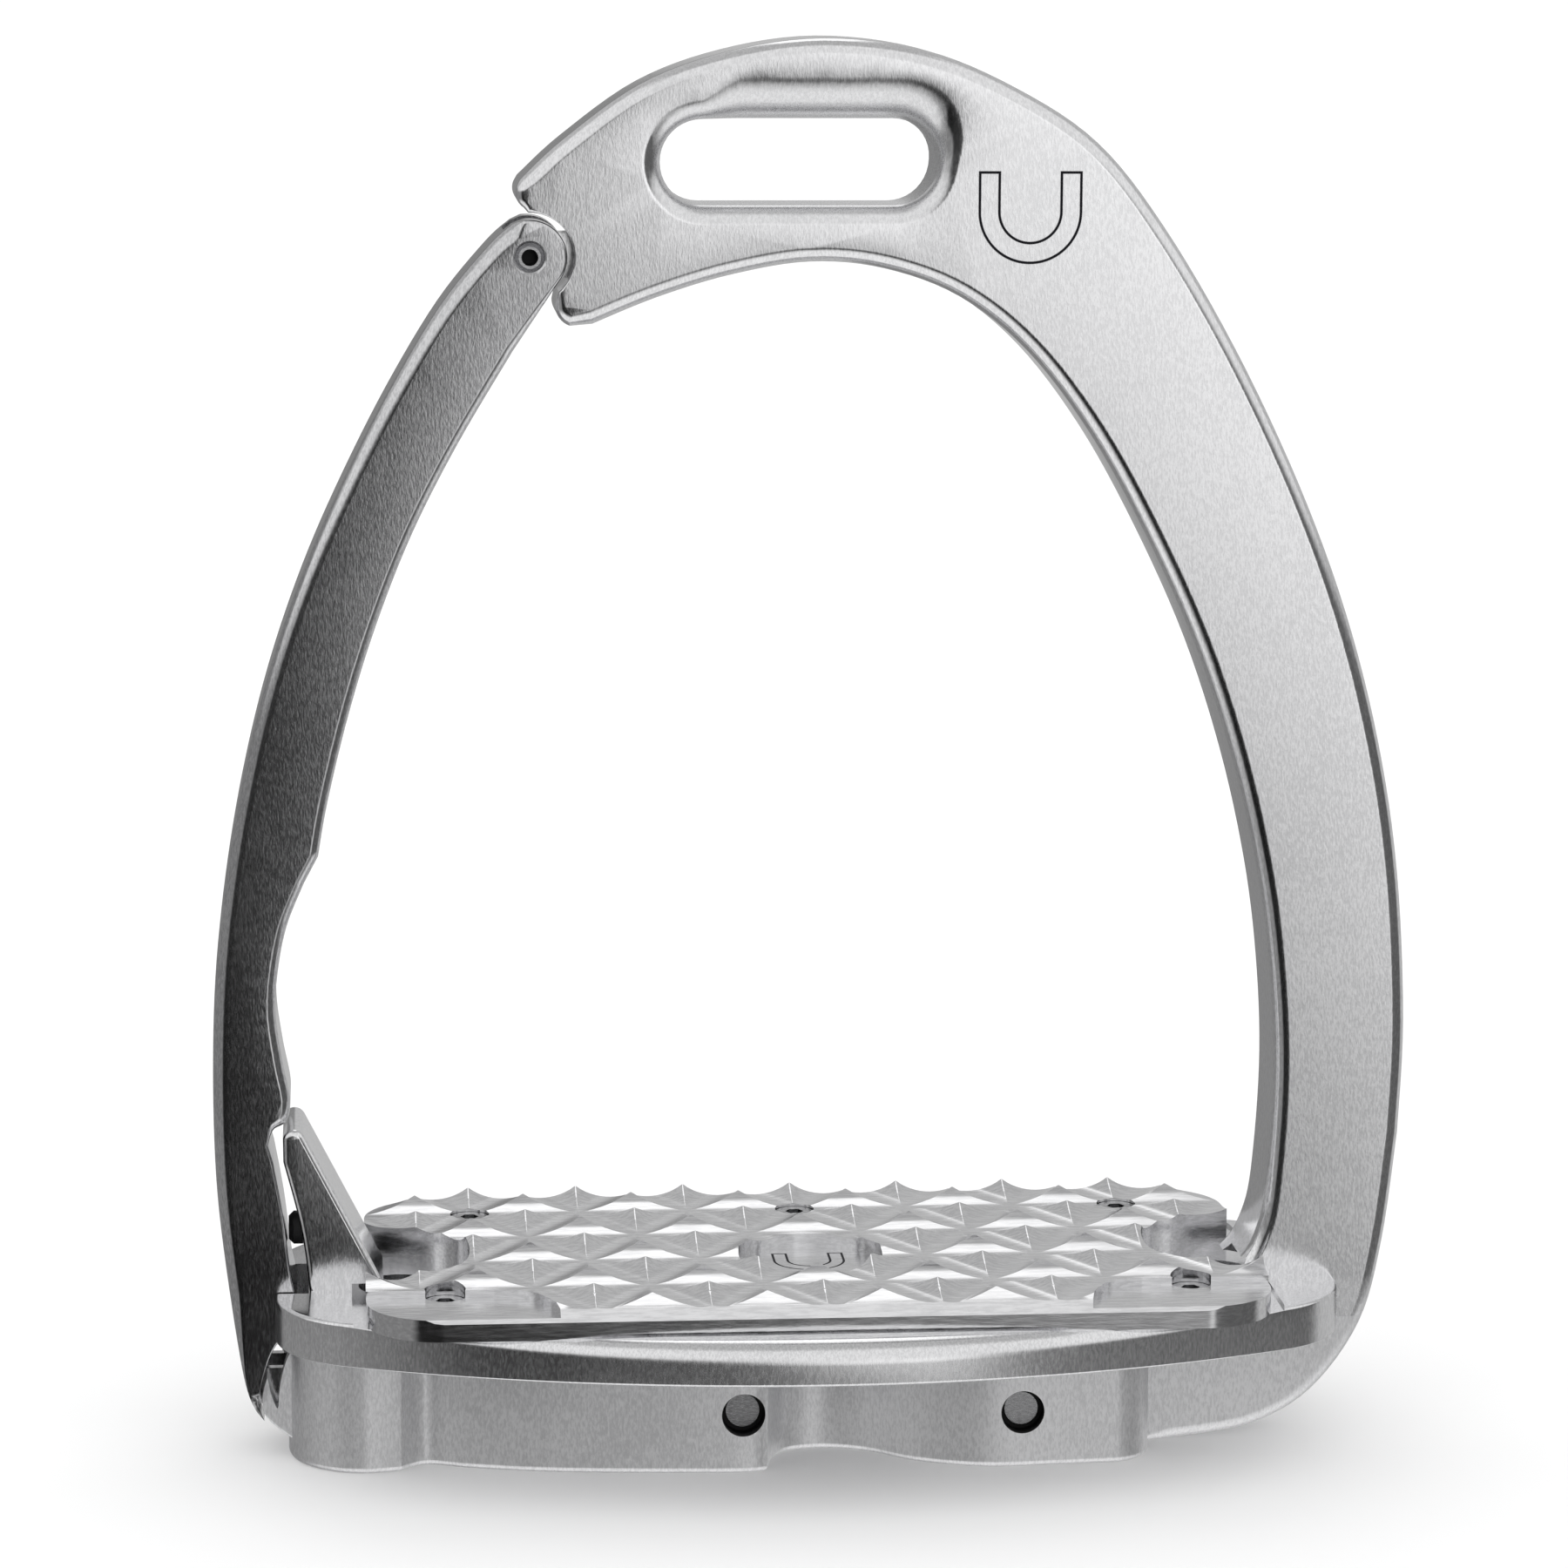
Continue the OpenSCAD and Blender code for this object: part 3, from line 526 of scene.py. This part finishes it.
def spiked_slab(rows=5, columns=10, rings=7, ridge=0.14, blunt=0.975):
    """A slab whose whole top is cut into three-sided spikes by round grooves in three directions.
    ridge is the width of the small flat along each spike's three edges, and blunt the share of the
    way to a sharp tip where the spike ends."""
    verts = []
    index = {}

    def vertex(p, z):
        key = (round(p.x, 4), round(p.y, 4), round(z, 4))
        if key not in index:
            index[key] = len(verts)
            verts.append((p.x, p.y, z))
        return index[key]

    def corner(j, i):
        return Vector(((i - columns / 2 + (j % 2) / 2) * SPIKE_PITCH, (j - rows / 2) * SPIKE_ROW))

    def ring_points(cell, share):
        """Six points round a spike, two at each corner, at a share of the way from base to tip."""
        middle = (cell[0] + cell[1] + cell[2]) / 3
        away = share * SPIKE_ROW / 3
        z = GROOVE_FLOOR + GROOVE_R - math.sqrt(GROOVE_R ** 2 - away ** 2)
        small = [p + (middle - p) * share for p in cell]
        width = min(ridge, 0.3 * (small[1] - small[0]).length) if share else 0
        out = []
        for k in range(3):
            for other in (small[k - 1], small[(k + 1) % 3]):
                out.append(vertex(small[k] + (other - small[k]).normalized() * width, z))
        return out

    faces = []
    for j in range(rows):
        for i in range(columns):
            a, b, c, d = corner(j, i), corner(j, i + 1), corner(j + 1, i), corner(j + 1, i + 1)
            for cell in ([a, b, c], [b, d, c]) if j % 2 == 0 else ([a, b, d], [a, d, c]):
                before = ring_points(cell, 0)
                for ring in range(1, rings + 1):
                    now = ring_points(cell, blunt * ring / rings)
                    for k in range(6):
                        n = (k + 1) % 6
                        face = [before[k], before[n], now[n], now[k]]
                        faces.append(face if before[k] != before[n] else face[1:])
                    before = now
                faces.append(before)
                faces.append([vertex(p, TREAD_BASE) for p in reversed(cell)])
    edge = [corner(0, i) for i in range(columns + 1)]
    edge += [corner(j, columns) for j in range(1, rows)]
    edge += [corner(rows, i) for i in range(columns, -1, -1)]
    edge += [corner(j, 0) for j in range(rows - 1, 0, -1)]
    for p, q in zip(edge, edge[1:] + edge[:1]):
        faces.append([vertex(p, TREAD_BASE), vertex(q, TREAD_BASE),
                      vertex(q, GROOVE_FLOOR), vertex(p, GROOVE_FLOOR)])
    return mesh_object("tread_shell", verts, faces)


def screw_hole(place, seat):
    """A tread screw's hole: clearance for its shank, and room for its head from seat upwards."""
    shank, head, low, top = 1.65, 2.42, 19, 28
    return turned(place, 2, [(0, low), (shank, low), (shank, seat), (head, seat), (head, top), (0, top)])


def build_tread():
    """The tread: the spiked slab cut to its outline, less the bevelled front lip, the round recess,
    the end notches, the smooth pads and the screws' holes."""
    tread = spiked_slab()
    outline = slab("edge", [edged(tread_loop(), 0)], 2, TREAD_BASE - 1, SPIKE_TIP + 1, steps=1)
    combine(tread, [outline], "INTERSECT")
    above = 28
    pad = [Vector(p) for p in ((-56, -29), (-31, -29))]
    pad += curve([(-31.2, -27), (-32.4, -22.6), (-35, -19), (-38.6, -18)]) + [Vector((-56, -18))]
    lip = [(-29, 21), (-28, 22.3), (-27.2, 23.75), (-23.2, 24.5), (-23.2, 26.5), (-29, 26.5)]
    recess = [(0, MEDAL_FLOOR), (MEDAL_R, MEDAL_FLOOR), (MEDAL_R, above), (0, above)]
    cutters = [turned(MEDAL, 2, recess, 96), prism(lip, 0, -60, 60)]
    for side in (-1, 1):
        cutters.append(rod((side * NOTCH[0], NOTCH[1]), NOTCH_R, 2, TREAD_BASE - 1, above, 128))
        cutters.append(prism([(-side * p.x, p.y) for p in pad], 2, PAD_TOP, above))
    cutters += [screw_hole(p, FRONT_SEAT) for p in FRONT_SCREWS]
    cutters += [screw_hole(p, REAR_SEAT) for p in REAR_SCREWS]
    return combine(tread, cutters, "DIFFERENCE")


def build_pin():
    """The hinge pin: a flush head with a broad chamfer and a hex socket."""
    front = -HALF_T + 0.35
    rear = HALF_T - 0.6
    under_head = PIN_HEAD_Y - 0.02
    socket_floor = -4.3
    chamfer = 0.4
    end_chamfer = 0.3
    pin = turned(PIVOT, 1, [(0, front), (PIN_HEAD_R - chamfer, front), (PIN_HEAD_R, front + chamfer),
                            (PIN_HEAD_R, under_head), (PIN_R, under_head), (PIN_R, rear - end_chamfer),
                            (PIN_R - end_chamfer, rear), (0, rear)], 48)
    pin.name = "hinge_pin_shell"
    return combine(pin, [prism(arc(PIVOT, HEX_R, 0, 300, 5), 1, front - 1, socket_floor)], "DIFFERENCE")


body = build_body()
arm = build_arm()
tread = build_tread()
pin = build_pin()
# Each piece, the node it replaces, the body it rides on, its slot, and from what angle an edge is sharp
REPLACED = (
    (body, "frame", "body", "body_metal", 32),
    (arm, "release_arm", "arm", "arm_metal", 32),
    (tread, "tread_plate", "body", "tread_metal", 20),
    (pin, "hinge_pin", "arm", "steel", 32),
)
for piece, node, owner, slot, sharp_angle in REPLACED:
    finish_mesh(piece, sharp_angle)
    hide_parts(node)
    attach(piece, owner)


# ---- materials ---------------------------------------------------------------------------------

class Graph:
    """One shader's nodes. A number, a tuple or another node's output may go into any input. The Mix
    node has a pair of inputs for each data type: 2 and 3 for floats, 6 and 7 for colours."""

    def __init__(self, owner):
        owner.use_nodes = True
        self.tree = owner.node_tree

    def plug(self, node, key, value):
        if isinstance(value, bpy.types.NodeSocket):
            self.tree.links.new(value, node.inputs[key])
        else:
            node.inputs[key].default_value = value

    def add(self, kind, inputs=(), output=0, **settings):
        node = self.tree.nodes.new("ShaderNode" + kind)
        for key, value in settings.items():
            setattr(node, key, value)
        for key, value in dict(inputs).items():
            self.plug(node, key, value)
        return node.outputs[output]

    def math(self, operation, *values):
        return self.add("Math", enumerate(values), operation=operation)

    def span(self, value, low, high, out_low=0.0, out_high=1.0):
        """value taken smoothly from out_low at low to out_high at high, and held beyond."""
        return self.add("MapRange", {0: value, 1: low, 2: high, 3: out_low, 4: out_high},
                        interpolation_type="SMOOTHSTEP")

    def blend(self, share, a, b):
        """a where share is 0 and b where it is 1; tint does the same for colours."""
        return self.add("Mix", {0: share, 2: a, 3: b}, data_type="FLOAT")

    def tint(self, share, a, b):
        return self.add("Mix", {0: share, 6: a, 7: b}, output=2, data_type="RGBA")

    def noise(self, where, scale, detail=2.0, rough=0.5):
        stretched = self.add("Mapping", {0: where, 3: scale})
        inputs = {"Vector": stretched, "Scale": 1.0, "Detail": detail, "Roughness": rough}
        return self.add("TexNoise", inputs)


def horseshoe(g, u, v, radius, line):
    """1 on the outline of a plain U-shaped horseshoe, open towards +v; sizes in metres."""
    low = g.math("MINIMUM", v, 0.0)
    r = g.math("SQRT", g.math("ADD", g.math("MULTIPLY", u, u), g.math("MULTIPLY", low, low)))
    band = g.math("SUBTRACT", g.math("ABSOLUTE", g.math("SUBTRACT", r, radius)), radius * 0.24)
    above = g.math("SUBTRACT", v, radius * 0.95)
    edge = g.math("ABSOLUTE", g.math("MAXIMUM", band, above))
    return g.span(edge, line, line * 0.5)


def within(g, value, middle, half, fade=0.0004):
    """1 where value is within half of middle, fading out over fade."""
    return g.span(g.math("ABSOLUTE", g.math("SUBTRACT", value, middle)), half + fade, half)


MATT_ROUGHNESS = 0.44
# Painted shade: a dark colour and roughness laid into recesses (the counterbores around the cross pins
# and the hinge pin's hex socket) in place of the shade inside them.
HOLE_SHADE_COLOUR = (0.03, 0.03, 0.03, 1)
HOLE_SHADE_ROUGHNESS = 0.5
ENGRAVED = (0.02, 0.02, 0.025, 1)
ENGRAVED_ROUGHNESS = 0.6
SMUDGES = (60, 60, 60)


def metal(name, light, dark, polished, satin, grain, flat_axis=1, matt=None, mark=None, hole_shade=None,
          relief=8e-6, edge_relief=0.2):
    """Metal whose faces across flat_axis are brushed with grain, and whose rounded edges are polished.
    light and dark are the colours the brushing runs between, polished is the roughness of the edges
    and satin that of the faces. matt(g, x, z, brushed) may give a share that turns both dull,
    mark(g, x, y, z) the lines of an engraving, and hole_shade(g, x, z) a share of painted shade, a dark
    colour in a hole that stands for the shade inside it.
    relief is the brushing's depth, and edge_relief its share on the edges."""
    mat = bpy.data.materials.new(name)
    g = Graph(mat)
    bsdf = g.tree.nodes["Principled BSDF"]
    place = g.add("TexCoord", output="Object")
    normal = g.add("TexCoord", output="Normal")
    x, y, z = (g.add("SeparateXYZ", {0: place}, output=i) for i in range(3))
    flatness = g.math("ABSOLUTE", g.add("SeparateXYZ", {0: normal}, output=flat_axis))
    brushed = g.span(flatness, 0.97, 0.998)
    lines = g.noise(place, grain, 3.0, 0.65)
    smudge = g.noise(place, SMUDGES, 2.0)
    rough = g.blend(brushed, polished, satin)
    if matt:
        rough = g.blend(matt(g, x, z, brushed), rough, MATT_ROUGHNESS)
    rough = g.math("ADD", rough, g.math("MULTIPLY_ADD", lines, 0.12, -0.06))
    rough = g.math("ADD", rough, g.math("MULTIPLY_ADD", smudge, 0.05, -0.025))
    shade = g.math("MULTIPLY_ADD", lines, 0.8, g.math("MULTIPLY", smudge, 0.2))
    colour = g.tint(g.span(shade, 0.38, 0.62), (*dark, 1), (*light, 1))
    height = g.math("MULTIPLY", lines, g.blend(brushed, edge_relief, 1.0))
    if mark:
        engraved = g.math("MULTIPLY", mark(g, x, y, z), brushed)
        colour = g.tint(engraved, colour, ENGRAVED)
        rough = g.blend(engraved, rough, ENGRAVED_ROUGHNESS)
    # Painted shade: the colour and roughness turn dark inside the holes that this mask marks, standing
    # for the shade in them.
    if hole_shade:
        shaded_share = hole_shade(g, x, z)
        colour = g.tint(shaded_share, colour, HOLE_SHADE_COLOUR)
        rough = g.blend(shaded_share, rough, HOLE_SHADE_ROUGHNESS)
    g.plug(bsdf, "Base Color", colour)
    g.plug(bsdf, "Roughness", rough)
    g.plug(bsdf, "Metallic", 1.0)
    g.plug(bsdf, "Normal", g.add("Bump", {"Strength": 1.0, "Distance": relief, "Height": height}))
    return mat


def body_matt(g, x, z, brushed):
    """The under-body, partly the flange's edge, and the milled edges of the strap slot."""
    zone_z, half_x, half_z = 156.0, 17.0, 8.5
    beside = within(g, x, SLOT_MID[0] * MM, half_x * MM)
    slot = g.math("MULTIPLY", beside, within(g, z, zone_z * MM, half_z * MM))
    slot = g.math("MULTIPLY", slot, g.blend(brushed, 0.5, 0.0))
    base = g.span(z, HULL_H * MM, HULL_H * MM - 0.0002, 0.35, 1.0)
    base = g.math("MULTIPLY", base, g.span(z, FLANGE_TOP * MM, FLANGE_TOP * MM - 0.0012))
    return g.math("MAXIMUM", base, slot)


def hole_mask(g, x, z, place, radius):
    """1 within radius mm of a place in X and Z."""
    across = g.math("SUBTRACT", x, place[0] * MM)
    up = g.math("SUBTRACT", z, place[1] * MM)
    r = g.math("SQRT", g.math("ADD", g.math("MULTIPLY", across, across), g.math("MULTIPLY", up, up)))
    return g.math("LESS_THAN", r, radius * MM)


def pin_holes(g, x, z):
    """The counterbores around the two cross pins, where painted shade darkens the metal."""
    return g.math("MAXIMUM", *(hole_mask(g, x, z, p, COUNTERBORE_R + 0.01) for p in LATCH_PINS))


def pin_socket(g, x, z):
    """The hex socket in the hinge pin's head, where painted shade darkens the steel."""
    return hole_mask(g, x, z, PIVOT, HEX_R - 0.02)


def body_mark(g, x, y, z):
    """A plain horseshoe on the front of the right shoulder."""
    place, radius, line = (24.9, 149.2), 4.8, 0.2
    across = g.math("SUBTRACT", x, place[0] * MM)
    up = g.math("SUBTRACT", z, place[1] * MM)
    shape = horseshoe(g, across, up, radius * MM, line * MM)
    return g.math("MULTIPLY", shape, g.span(y, 0.0, -0.001))


def tread_mark(g, x, y, z):
    """The same horseshoe on the floor of the tread's round recess, a little behind its middle."""
    middle, radius, line = -2.8, 3.4, 0.2
    along = g.math("SUBTRACT", y, middle * MM)
    shape = horseshoe(g, x, along, radius * MM, line * MM)
    return g.math("MULTIPLY", shape, g.span(z, (MEDAL_FLOOR + 0.3) * MM, (MEDAL_FLOOR + 0.1) * MM))


def rubber(name):
    """Black rubber with a fine grain."""
    mat = bpy.data.materials.new(name)
    g = Graph(mat)
    bsdf = g.tree.nodes["Principled BSDF"]
    place = g.add("TexCoord", output="Object")
    speck = g.noise(place, (4000, 4000, 4000), 3.0)
    g.plug(bsdf, "Base Color", g.tint(speck, (0.012, 0.012, 0.013, 1), (0.03, 0.03, 0.032, 1)))
    g.plug(bsdf, "Roughness", g.span(speck, 0.2, 0.8, 0.5, 0.75))
    g.plug(bsdf, "Normal", g.add("Bump", {"Strength": 1.0, "Distance": 1e-5, "Height": speck}))
    return mat


# Light and dark shade of each brushed alloy, and the brushing's scale per metre along X, Y and Z
ALLOY = ((0.9, 0.9, 0.91), (0.74, 0.74, 0.75))
ARM_ALLOY = ((0.76, 0.76, 0.77), (0.58, 0.58, 0.59))
FACE_GRAIN = (4200, 4200, 1300)
ROUND_GRAIN = (1500, 1500, 6000)
LONG_GRAIN = (300, 2600, 2600)
BLADE_GRAIN = (120, 5000, 5000)
materials = {
    "body_metal": metal("body_metal", *ALLOY, 0.12, 0.17, FACE_GRAIN, matt=body_matt, mark=body_mark,
                        hole_shade=pin_holes),
    "arm_metal": metal("arm_metal", *ARM_ALLOY, 0.12, 0.14, FACE_GRAIN),
    "tread_metal": metal("tread_metal", (0.84, 0.84, 0.85), (0.7, 0.7, 0.71), 0.14, 0.2, LONG_GRAIN,
                         flat_axis=2, mark=tread_mark, relief=1e-5, edge_relief=0.8),
    "steel": metal("steel", (0.56, 0.56, 0.57), (0.4, 0.4, 0.41), 0.15, 0.25, ROUND_GRAIN),
    "pin_steel": metal("pin_steel", (0.7, 0.7, 0.71), (0.55, 0.55, 0.56), 0.1, 0.25, ROUND_GRAIN,
                       hole_shade=pin_socket),
    "spring_steel": metal("spring_steel", (0.3, 0.34, 0.42), (0.16, 0.18, 0.24), 0.22, 0.3, BLADE_GRAIN),
    "bronze": metal("bronze", (0.72, 0.47, 0.22), (0.5, 0.3, 0.13), 0.22, 0.32, ROUND_GRAIN),
    "rubber": rubber("rubber"),
}
MADE_OF = {
    "body_metal": [body, "base_cover"],
    "arm_metal": [arm],
    "tread_metal": [tread],
    "pin_steel": [pin],
    "steel": ["hinge_nut", "tread_screws_front", "tread_screws_rear", "latch_anchor", "blade_screws",
              "latch_hook", "hook_rivets", "latch_pins", "strike_pin", "adjuster_screw", "cover_screws"],
    "spring_steel": ["latch_blade"],
    "bronze": ["hinge_bush_front", "hinge_bush_rear", "fulcrum_roller"],
    "rubber": ["cover_gasket", "foot_bumper"],
}
for look, members in MADE_OF.items():
    for member in members:
        obj = nodes[member] if isinstance(member, str) else member
        obj.data.materials.clear()
        obj.data.materials.append(materials[look])


# ---- studio ------------------------------------------------------------------------------------

def add_camera():
    """A long lens, from the left of the middle and from a little above."""
    data = bpy.data.cameras.new("camera")
    data.lens = 120.5
    data.clip_start = 0.05
    cam = bpy.data.objects.new("camera", data)
    bpy.context.scene.collection.objects.link(cam)
    eye = Vector((-56.5, -616.8, 187.3))
    azimuth, elevation, roll = (math.radians(v) for v in (4.95, 9.78, 0.28))
    forward = Vector((math.sin(azimuth) * math.cos(elevation),
                      math.cos(azimuth) * math.cos(elevation), -math.sin(elevation)))
    side = forward.cross(Vector((0, 0, 1))).normalized()
    up = side.cross(forward)
    right = side * math.cos(roll) + up * math.sin(roll)
    top = up * math.cos(roll) - side * math.sin(roll)
    cam.matrix_world = Matrix((right, top, -forward)).transposed().to_4x4()
    cam.location = eye * MM
    bpy.context.scene.camera = cam


def add_floor():
    """A white floor, 12 m to each side, that the metal doesn't mirror."""
    reach = 12
    mesh = bpy.data.meshes.new("floor")
    corners = [(-reach, -reach, 0), (reach, -reach, 0), (reach, reach, 0), (-reach, reach, 0)]
    mesh.from_pydata(corners, [], [(0, 1, 2, 3)])
    floor = link("floor", mesh)
    floor.visible_glossy = False
    mat = bpy.data.materials.new("floor_white")
    g = Graph(mat)
    bsdf = g.tree.nodes["Principled BSDF"]
    place = g.add("TexCoord", output="Object")
    white = g.tint(g.noise(place, (3, 3, 3)), (0.9, 0.9, 0.9, 1), (0.92, 0.92, 0.92, 1))
    g.plug(bsdf, "Base Color", white)
    g.plug(bsdf, "Roughness", 0.9)
    mesh.materials.append(mat)


def add_world():
    """Studio light by direction, with x to the right, y to the back and z up, between -1 and 1. The
    floor is lit evenly, and the camera sees plain white. The metal sees the levels set below."""
    dark_front, bright_front = 0.04, 1.06
    right_box, right_wall, left_wall = 0.4, 0.12, 0.25
    below, above, overhead = 0.9, 0.85, 0.5
    back, dark_back, strip_light = 0.52, 0.25, 1.3
    seen_white, floor_light = 1.0, 1.22
    world = bpy.data.worlds.new("studio")
    world.cycles.sampling_method = "NONE"
    g = Graph(world)
    way = g.add("TexCoord", output="Generated")
    x, y, z = (g.add("SeparateXYZ", {0: way}, output=i) for i in range(3))
    # In front: dark straight ahead and low, rising to a softbox at the right
    rise = g.math("ADD", x, g.math("MULTIPLY_ADD", z, 0.3, 0.018))
    light = g.span(rise, -0.032, 0.1, dark_front, bright_front)
    light = g.math("MULTIPLY", light, g.span(z, -0.34, -0.03, 0.2, 1.0))
    light = g.math("ADD", light, g.span(x, 0.2, 0.3, 0.0, right_box))
    # The walls at the sides, the table below and the ceiling in front
    light = g.blend(g.span(x, 0.3, 0.42), light, right_wall)
    light = g.blend(g.span(x, -0.55, -0.75), light, left_wall)
    light = g.blend(g.span(z, -0.35, -0.6), light, below)
    light = g.blend(g.span(z, 0.05, 0.28), light, above)
    # Behind: grey, with a darker patch low at the left, and a strip light high over it
    patch = g.math("MULTIPLY", g.span(z, 0.34, 0.26), g.span(x, 0.06, -0.03))
    light = g.blend(g.span(y, 0.0, 0.3), light, g.blend(patch, back, dark_back))
    strip = g.math("MULTIPLY", within(g, x, 0.06, 0.08, 0.05), g.span(z, 0.4, 0.52))
    light = g.blend(g.math("MULTIPLY", strip, g.span(y, -0.25, 0.1)), light, strip_light)
    light = g.blend(g.span(z, 0.86, 0.95), light, overhead)
    light = g.blend(g.add("LightPath", output="Is Camera Ray"), light, seen_white)
    light = g.blend(g.add("LightPath", output="Is Diffuse Ray"), light, floor_light)
    background = g.tree.nodes["Background"]
    g.plug(background, "Color", (1, 1, 1, 1))
    g.plug(background, "Strength", light)
    bpy.context.scene.world = world


add_camera()
add_floor()
add_world()
bpy.context.scene.view_settings.view_transform = "Standard"
